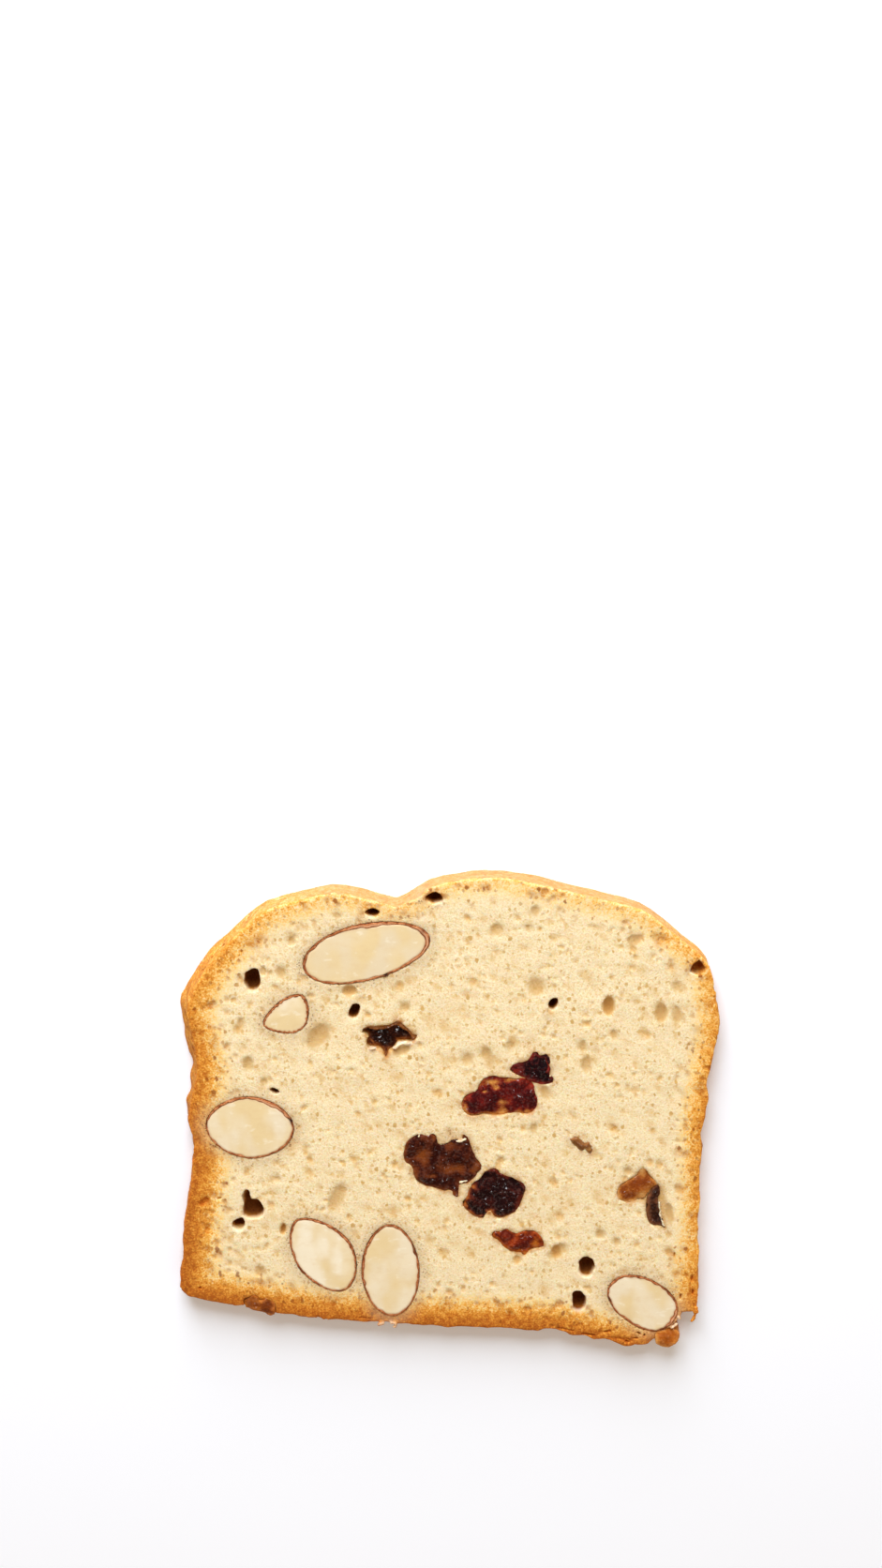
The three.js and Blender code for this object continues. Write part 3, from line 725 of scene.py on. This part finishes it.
def lay_shreds(field, axes):
    """Shreds of torn crumb, as rows of blobs of uneven size. Returns where they lie."""
    x, y = axes[:2]
    plan = np.zeros((len(x), len(y)), np.float32)
    for path, thick, pale in SHREDS:
        for start, end in zip(path, path[1:]):
            steps = math.ceil(math.dist(start, end) / SHRED_STEP)
            for step in range(steps):
                at = np.array(start) + (np.array(end) - start) * step / steps + random.normal(0, 0.06, 2)
                size = thick * random.uniform(0.5, 1.3)
                heap(field, axes, (*at, THICKNESS - 0.1), (size * 1.3, size, 0.35 * size + 0.2),
                     random.uniform(0, 3))
            ends = np.array([start, end])
            part = span((x, y), ends.min(0) - 1, ends.max(0) + 1)
            beside = outline_distance(ends, x[part[0]], y[part[1]]) - thick
            plan[part] = np.maximum(plan[part], pale * (1 - smooth_step(beside, -0.1, 0.12)))
    return plan


def browning(points, depth):
    """How toasted the crumb is, 0 to 1, at some depth in from the crust."""
    way = np.degrees(np.arctan2(points[:, 1], points[:, 0]))
    strength = np.interp(way, BROWNING[:, 0], BROWNING[:, 1], period=360)
    reach = np.interp(way, BROWNING[:, 0], BROWNING[:, 2], period=360)
    depth = np.maximum(depth, 0)
    return strength * (0.95 * np.exp(-(depth / reach) ** 2) + 0.05 * np.exp(-depth / 6))


def nearness(spots, points):
    """How near each point is to any of some spots of x, y and reach, from 0 to 1."""
    near = np.zeros(len(points))
    for x, y, reach in spots:
        near = np.maximum(near, np.exp(-((points[:, 0] - x) ** 2 + (points[:, 1] - y) ** 2) / reach ** 2))
    return near


def closed_outline(height, axes, clear):
    """The slice's outline at a height, run straight past the nuts and fruit that break it."""
    outline = section(SLICE, height)[0]
    return outline[sample(clear, axes, outline) > 0.6]


def crumb_body(axes, rim_front, rim_back, to_nut, to_fruit):
    """The slice as a field: its faces, its rugged crust, and a pocket for each nut and fruit.

    Returns the pockets' ragged edge too.
    """
    x, y, z = axes
    relief = 0.03 * noise((x, y), (0.7, 0.7)) + 0.04 * noise((x, y), (2.6, 2.6))
    face = THICKNESS + np.minimum(relief - 0.05, 0)
    share = np.clip(z / THICKNESS, 0, 1).astype(np.float32)
    wall = rim_back[:, :, None] * (1 - share) + rim_front[:, :, None] * share
    crags = 0.1 * noise(axes, (1.1, 1.1, 0.8)) + 0.17 * noise(axes, (2.6, 2.6, 1.4))
    rough = 0.28 + 0.72 * smooth_step(-y, -35, -20)
    lumpy = 0.8 * smooth_step(-y, 36, 42)[None, :] * smooth_step(x, 8, 26)[:, None]
    wall += crags * (rough[None, :] + lumpy)[:, :, None] + 0.12
    field = smooth_max(wall, z[None, None, :] - face[:, :, None], EDGE_ROUND)
    underside = np.maximum(0.05 + 0.04 * noise((x, y), (2.4, 2.4)), 0)
    field = smooth_max(field, underside[:, :, None] - z[None, None, :], EDGE_ROUND)
    ragged = (0.05 * noise((x, y), (0.8, 0.8)) + 0.03 * noise((x, y), (0.4, 0.4))).astype(np.float32)
    field = smooth_max(field, (SKIN_ROOM - to_nut)[:, :, None], 0.1)
    field = smooth_max(field, (FRUIT_ROOM + ragged - to_fruit)[:, :, None], 0.15)
    return field.astype(np.float32), ragged


def make_crumb(nuts, fruit):
    """The crumb with its crust, hollows and pores, and the marks that its material shows."""
    axes = grid_axes(LOW, HIGH, CRUMB_STEP)
    x, y = axes[:2]
    to_nut = piece_distances(nuts, x, y)
    to_fruit = piece_distances(fruit, x, y)
    clear = np.minimum(to_nut, to_fruit)
    front = closed_outline(THICKNESS - 0.02, axes, clear)
    rim_front = outline_distance(front, x, y)
    rim_back = outline_distance(closed_outline(0.02, axes, clear), x, y)
    field, ragged = crumb_body(axes, rim_front, rim_back, to_nut, to_fruit)

    torn_edge = (0.26 * noise((x, y), (1.5, 1.5)) + 0.1 * noise((x, y), (0.6, 0.6))).astype(np.float32)
    deep, lips, dish_shade_plan = open_bowls(field, axes, rim_front, clear, ragged, torn_edge)
    face_pores = strewn_pores(field, axes, rim_front, clear, FACE_PORES, THICKNESS)
    # the darkness inside the listed hollows is painted shade
    painted_well_shade = np.zeros_like(dish_shade_plan)
    for hx, hy, long, wide, depth, turn, dark in HOLLOWS:
        marks = [(dish_shade_plan, 1.0), (painted_well_shade, dark)]
        sink(field, axes, (hx, hy, THICKNESS), (long, wide, depth), math.radians(turn), *marks)
    back_pores = strewn_pores(field, axes, rim_back, clear, BACK_PORES, 0.0)
    crust_pores(field, axes, front, CRUST_PORES)
    torn = np.maximum(lay_shreds(field, axes), lips * (rim_front < -3))

    points, faces = field_mesh(field, axes, CRUMB_THINNING)
    piece = new_piece("crumb", points, faces, crumb_material(), SLICE)

    def at(plan):
        return sample(plan, axes, points)

    from_back = points[:, 2]
    from_front = THICKNESS - from_back
    share = np.clip(from_back / THICKNESS, 0, 1)
    rim = at(rim_back) * (1 - share) + at(rim_front) * share
    in_front = smooth_step(from_front, 1.2, 0.8)
    in_back = smooth_step(from_back, 1.2, 0.8)
    # Painted shade: how deep each point reads for its colour, more than it is in deep bubbles and the
    # darker hollows, less at LIGHT_PITS
    depth = np.where(at(deep) > 0.2, PIT_SHADE * from_front, np.minimum(from_front, from_back))
    depth *= 1 - 0.95 * nearness(LIGHT_PITS, points)
    depth += WELL_SHADE * at(painted_well_shade) * smooth_step(from_front, 0.1, 0.3) * (from_front < 1.4)
    upright = smooth_step(np.minimum(from_front, from_back), 0.08, 0.3)
    inside = smooth_step(-rim, 0.3, 0.8)
    near_nut = np.exp(-(np.maximum(at(to_nut), 0) / 1.7) ** 2)
    near_fruit = np.exp(-np.maximum(at(to_fruit), 0) / 0.5)

    set_attribute(piece, "toast", browning(points, -rim))
    # painted shade in pits, bubbles and hollows
    set_attribute(piece, "hollow", np.maximum(depth - 0.1, 0) * inside)
    set_attribute(piece, "wall", smooth_step(rim, -0.75, -0.3) * upright)
    # painted shade: tan inside the pores and the shallow bowls
    set_attribute(piece, "pore_shade", at(face_pores) * in_front + at(back_pores) * in_back)
    set_attribute(piece, "dish_shade", at(dish_shade_plan) * in_front)
    set_attribute(piece, "torn", at(torn) * in_front)
    # near the almonds this mark paints shade beside the nuts; the dark specks in it are real
    set_attribute(piece, "specks_and_shade", np.maximum(0.9 * near_nut, nearness(SPECKS, points)))
    set_attribute(piece, "stain", np.maximum(0.85 * near_fruit, nearness(STAINS, points) * inside))


# The almonds

def round_outline(outline, count):
    """An outline resampled to a number of even steps along a smooth closed curve."""
    ring = np.concatenate([outline, outline[:1]])
    along = np.concatenate([[0], np.cumsum(np.linalg.norm(np.diff(ring, axis=0), axis=1))])
    stops = np.linspace(0, along[-1], count, endpoint=False)
    even = np.stack([np.interp(stops, along, ring[:, k]) for k in (0, 1)], axis=1)
    for _ in range(3):
        even = 0.25 * np.roll(even, 1, axis=0) + 0.5 * even + 0.25 * np.roll(even, -1, axis=0)
    return even


def outward(ring):
    """The unit normals of a closed ring that runs anticlockwise, pointing out of it."""
    along = np.roll(ring, -1, axis=0) - np.roll(ring, 1, axis=0)
    normal = np.stack([along[:, 1], -along[:, 0]], axis=1)
    return normal / np.linalg.norm(normal, axis=1, keepdims=True)


def wobble(count, waves, size):
    """A closed run of smooth random values, one for each point of a ring."""
    angle = np.arange(count) / count * 2 * math.pi
    total = np.zeros(count)
    for wave in range(1, waves + 1):
        total += random.normal() * np.sin(wave * angle + random.uniform(0, 2 * math.pi)) / math.sqrt(waves)
    return size * total


def skinned_rings(rings, closed_ends):
    """Faces between rings of equal length, with each end closed on a middle point if asked."""
    count = len(rings[0])
    faces = []
    for level in range(len(rings) - 1):
        for side in range(count):
            ahead = (side + 1) % count
            low, high = level * count, (level + 1) * count
            faces.append((low + side, low + ahead, high + ahead, high + side))
    points = np.concatenate(rings)
    if closed_ends:
        first, last = len(points), len(points) + 1
        points = np.concatenate([points, [rings[0].mean(0)], [rings[-1].mean(0)]])
        top = (len(rings) - 1) * count
        for side in range(count):
            ahead = (side + 1) % count
            faces.append((first, ahead, side))
            faces.append((last, top + side, top + ahead))
    return points, faces


def make_kernel(name, outline, material):
    """The kernel: a thick plug with a hardly domed cut face on each side."""
    count = len(outline)
    centre = outline.mean(0)
    shares = 1 - np.linspace(0, 1, 15) ** 1.4
    rings = [(share, 0.06 + 0.03 * (1 - share)) for share in shares[:0:-1]]
    rings += [(1.0, 0.12), (1.0, THICKNESS * 0.5), (1.0, THICKNESS - 0.1)]
    rings += [(share, THICKNESS + 0.04 * (1 - share ** 2)) for share in shares[1:]]
    rings = [ring for ring in rings if ring[0] > 0.02]
    dips = wobble(count, 5, 0.03)
    stacked = []
    for share, height in rings:
        ring = centre + (outline - centre) * share
        lift = dips * share if height > THICKNESS * 0.8 else 0
        stacked.append(np.column_stack([ring, np.full(count, height) + lift]))
    points, faces = skinned_rings(stacked, True)
    piece = new_piece(name + "_kernel", points, faces, material, name)
    reach = np.linalg.norm(points[:, :2] - centre, axis=1)
    along = np.concatenate([np.tile(np.linalg.norm(outline - centre, axis=1), len(stacked)), [1, 1]])
    set_attribute(piece, "rim", along - reach)
    set_attribute(piece, "pale", np.full(len(points), PALE_KERNELS.get(name, 0.5)))


def make_skin(name, outline, width, material):
    """The skin round a kernel, of uneven width, which stands a hair above the cut."""
    count = len(outline)
    inward = -outward(outline) * width[:, None]
    outer = outline - outward(outline) * wobble(count, 36, 0.05)[:, None]
    knots = nearness(KNOTS, outline)
    outer += outward(outline) * 0.25 * knots[:, None]
    top = THICKNESS + 0.05 + wobble(count, 30, 0.03) + 0.15 * knots
    foot = np.full(count, 0.05)
    # how far across the skin each ring lies, and how far below its top
    profile = [(0, None), (0, 0.1), (0.2, 0.0), (0.5, 0.05), (0.8, 0.0), (1, 0.1), (1, None)]
    rings = [
        np.column_stack([outer + inward * across, foot if drop is None else top - drop])
        for across, drop in profile
    ]
    points, faces = skinned_rings(rings + rings[:1], False)
    used = count * len(rings)
    faces = [tuple(corner % used for corner in face) for face in faces]
    piece = new_piece(name + "_skin", points[:used], faces, material, name)
    wide = smooth_step(width, 0.42, 0.6)
    set_attribute(piece, "band", np.concatenate([wide * (across == 0.5) for across, _ in profile]))
    set_attribute(piece, "knot", np.tile(knots, len(profile)))


def make_almonds(names):
    """Every almond, as a kernel and its skin."""
    kernel = kernel_material()
    skin = skin_material()
    for name in names:
        outline = round_outline(outline_of(name), ALMOND_POINTS)
        outline = outline + outward(outline) * wobble(ALMOND_POINTS, 9, 0.06)[:, None]
        width = 0.3 + wobble(ALMOND_POINTS, 4, 0.1) + wobble(ALMOND_POINTS, 30, 0.09)
        width = np.clip(width + 0.45 * nearness(WIDE_SKIN, outline), 0.16, 0.85)
        make_kernel(name, outline - outward(outline) * (width * 0.9)[:, None], kernel)
        make_skin(name, outline, width, skin)


# The fruit

# Each piece's dark, middle, light and thin tones, and its thin places: x, y and reach each way in mm
# The thin tone and the thin places paint glow, as of light shining through thin flesh; the flesh also
# sinks there
FRUIT = {
    "cherry_recessed": [(22, 5, 3), (38, 10, 6), (96, 42, 16), (170, 104, 46), [
        (-13.2, 15.9, 0.4, 0.5), (-8.2, 19.6, 1.2, 0.8), (-10.6, 13.5, 0.5, 0.8)]],
    "cherry_small": [(20, 4, 6), (40, 9, 11), (96, 24, 18), (136, 40, 24), [
        (13.4, 10.6, 1.0, 0.7), (15.6, 8.7, 1.4, 0.4), (18.2, 8.0, 1.6, 0.4), (19.2, 12.0, 0.3, 1.6)]],
    "cherry_red": [(58, 7, 8), (92, 16, 13), (136, 36, 18), (206, 138, 62), [
        (8.8, 8.2, 1.7, 0.9), (9.8, 7.2, 1.1, 0.4), (7.4, 6.0, 0.9, 0.35), (10.9, 3.7, 1.4, 1.2),
        (11.0, 2.2, 1.4, 0.9), (4.0, 2.8, 0.6, 1.4), (6.1, 1.6, 1.6, 0.5), (9.0, 1.6, 1.8, 0.6),
        (15.8, 2.0, 1.2, 0.5), (12.4, 8.8, 1.6, 0.4)]],
    "cherry_black": [(24, 4, 4), (46, 11, 9), (96, 32, 16), (176, 96, 36), [
        (8.5, -18.5, 0.7, 0.8), (4.2, -16.6, 0.6, 1.8), (5.9, -13.3, 0.7, 0.8), (6.4, -19.8, 1.6, 0.4)]],
    "cherry_amber": [(84, 18, 8), (130, 40, 12), (166, 70, 18), (196, 110, 30), [
        (11.6, -26.2, 1.0, 0.5), (14.0, -27.4, 1.2, 0.5), (17.6, -25.6, 1.1, 1.2), (9.6, -24.0, 0.7, 0.7),
        (16.0, -27.6, 0.8, 0.6)]],
    "raisin_large": [(44, 8, 3), (78, 28, 11), (106, 46, 17), (132, 66, 22), [
        (1.6, -9.6, 2.6, 1.1), (-3.6, -7.0, 1.4, 1.8), (2.0, -15.0, 0.5, 1.0), (6.0, -9.2, 0.9, 1.4),
        (-1.7, -3.1, 0.5, 0.8), (0.6, -4.8, 1.6, 0.5), (-2.0, -11.0, 1.2, 0.6)]],
    "raisin_gold": [(126, 56, 14), (158, 80, 24), (194, 122, 50), (220, 166, 98), [
        (37.1, -10.0, 1.3, 1.3), (33.0, -16.2, 0.9, 0.9), (37.6, -15.6, 1.0, 1.0)]],
    "raisin_sliver": [(42, 17, 9), (66, 33, 17), (102, 56, 32), (128, 78, 42), [
        (41.3, -22.3, 0.8, 0.8)]],
    "raisin_base": [(112, 50, 14), (146, 74, 24), (170, 94, 32), (190, 112, 40), [
        (-35.0, -37.6, 0.7, 0.9), (-35.6, -39.6, 0.5, 0.5), (-38.2, -38.4, 0.5, 0.8)]],
    "raisin_corner": [(164, 82, 20), (186, 104, 34), (204, 126, 50), (222, 158, 82), []],
    "raisin_bit": [(84, 44, 18), (116, 68, 34), (146, 92, 46), (170, 120, 60), [
        (27.2, -5.6, 0.7, 0.7)]],
}
# The fringe below is where painted glow shows at a fruit's edge
THIN_FRINGE = 0.5           # how far in from its edge a fruit's flesh looks thin
FLESH_GROWTH = 0.18         # how far the flesh reaches past its outline, to meet the crumb
RECESSED = "cherry_recessed"


def make_fruit(name):
    """A piece of fruit, whose top is folded and wrinkled and sinks where the flesh is thin."""
    *tones, thin_places = FRUIT[name]
    low, high = (np.array(corner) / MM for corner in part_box(name))
    axes = grid_axes(low - 0.4, high + 0.4, FRUIT_STEP)
    x, y, z = axes
    plain = outline_distance(outline_of(name), x, y)
    flat = plain + (0.08 * noise((x, y), (0.9, 0.9)) + 0.05 * noise((x, y), (0.4, 0.4)) - FLESH_GROWTH)
    gx, gy = np.meshgrid(x, y, indexing="ij")
    bent_x = gx + 0.25 * noise((x, y), (0.9, 0.9))
    bent_y = gy + 0.25 * noise((x, y), (0.9, 0.9))
    slope_x, slope_y = np.gradient(plain, FRUIT_STEP)
    # painted glow is stronger on the edges away from the key light, where light would come through
    painted_glow_side = np.clip(0.5 - 0.45 * slope_x - 0.6 * slope_y, 0.1, 1)
    thin = 1.5 * painted_glow_side * np.exp(-np.maximum(-flat, 0) / THIN_FRINGE)
    for px, py, across, up in thin_places:
        thin = np.maximum(thin, np.exp(-((bent_x - px) / across) ** 2 - ((bent_y - py) / up) ** 2))
    dome = np.clip(-flat / 1.4, 0, 1)
    creases = 0.16 * np.abs(noise((x, y), (1.6, 1.6)))
    folds = 0.14 * noise((x, y), (1.7, 1.7)) + creases + 0.03 * noise((x, y), (0.45, 0.45))
    surface = high[2] - 0.14 + 0.24 * np.sqrt(dome) + folds - 0.2 * thin
    # under the recessed cherry's top edge a band of painted glow, and its top stands up there
    if name == RECESSED:
        top_edge = np.where(flat < 0, gy, low[1]).max(axis=1)
        below = np.maximum(top_edge[:, None] - bent_y, 0)
        thin = np.maximum(thin, np.exp(-(below / 1.1) ** 2))
        surface += 1.3 * (1 - smooth_step(below, 0.6, 1.3))
    field = smooth_max(flat[:, :, None], z[None, None, :] - surface[:, :, None], 0.25)
    field = smooth_max(field, 0.1 - z[None, None, :], 0.3)
    field += 0.025 * noise(axes, (0.4, 0.4, 0.4))
    points, faces = field_mesh(field, axes, FRUIT_THINNING)
    material = fruit_material(name, *[tone(*t) for t in tones])
    piece = new_piece(name + "_flesh", points, faces, material, name)
    # the thin mark is painted glow
    set_attribute(piece, "thin", sample(thin, axes, points))
    # painted shade in the crease valleys, left off where the flesh glows
    crease_shade = (1 - smooth_step(creases, 0.0, 0.12)) * np.clip(1 - thin, 0, 1)
    set_attribute(piece, "crease_shade", sample(crease_shade, axes, points))
    set_attribute(piece, "edge", np.exp(-np.maximum(sample(-flat, axes, points), 0) / 0.7))


# The stage

def make_stage():
    """The floor, the camera and the light."""
    bpy.ops.mesh.primitive_plane_add(size=FLOOR_SIZE)
    floor = bpy.context.object
    floor.name = "floor"
    shader = Shader("floor", Roughness=0.9, Specular_IOR_Level=0.1)
    shader.set("Base Color", tone(254, 254, 254))
    floor.data.materials.append(shader.material)

    scene = bpy.context.scene
    camera = bpy.data.objects.new("camera", bpy.data.cameras.new("camera"))
    camera.data.sensor_width = SENSOR
    camera.data.lens = FOCAL_PX * SENSOR / PHOTO_HEIGHT_PX
    camera.data.clip_start = 0.01
    camera.location = [v * MM for v in EYE]
    camera.rotation_euler = (math.radians(-TILT), 0, 0)
    scene.collection.objects.link(camera)
    bpy.context.scene.camera = camera

    for name, place, size, watts, colour in LIGHTS:
        lamp = bpy.data.lights.new(name, "AREA")
        lamp.color = colour
        lamp.shape = "RECTANGLE"
        lamp.size, lamp.size_y = size
        lamp.energy = watts
        holder = bpy.data.objects.new(name, lamp)
        holder.location = place
        holder.rotation_euler = (-Vector(place)).to_track_quat("-Z", "Y").to_euler()
        scene.collection.objects.link(holder)

    scene.world = bpy.data.worlds.new("studio")
    scene.world.use_nodes = True
    background = scene.world.node_tree.nodes["Background"]
    background.inputs["Color"].default_value = SURROUND
    background.inputs["Strength"].default_value = SURROUND_STRENGTH
    scene.view_settings.view_transform = "Standard"
    scene.view_settings.look = "None"


almonds = sorted(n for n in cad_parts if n.startswith("almond"))
fruits = sorted(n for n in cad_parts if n.startswith(("cherry", "raisin")))
make_crumb(almonds, fruits)
make_almonds(almonds)
for fruit_name in fruits:
    make_fruit(fruit_name)
make_stage()
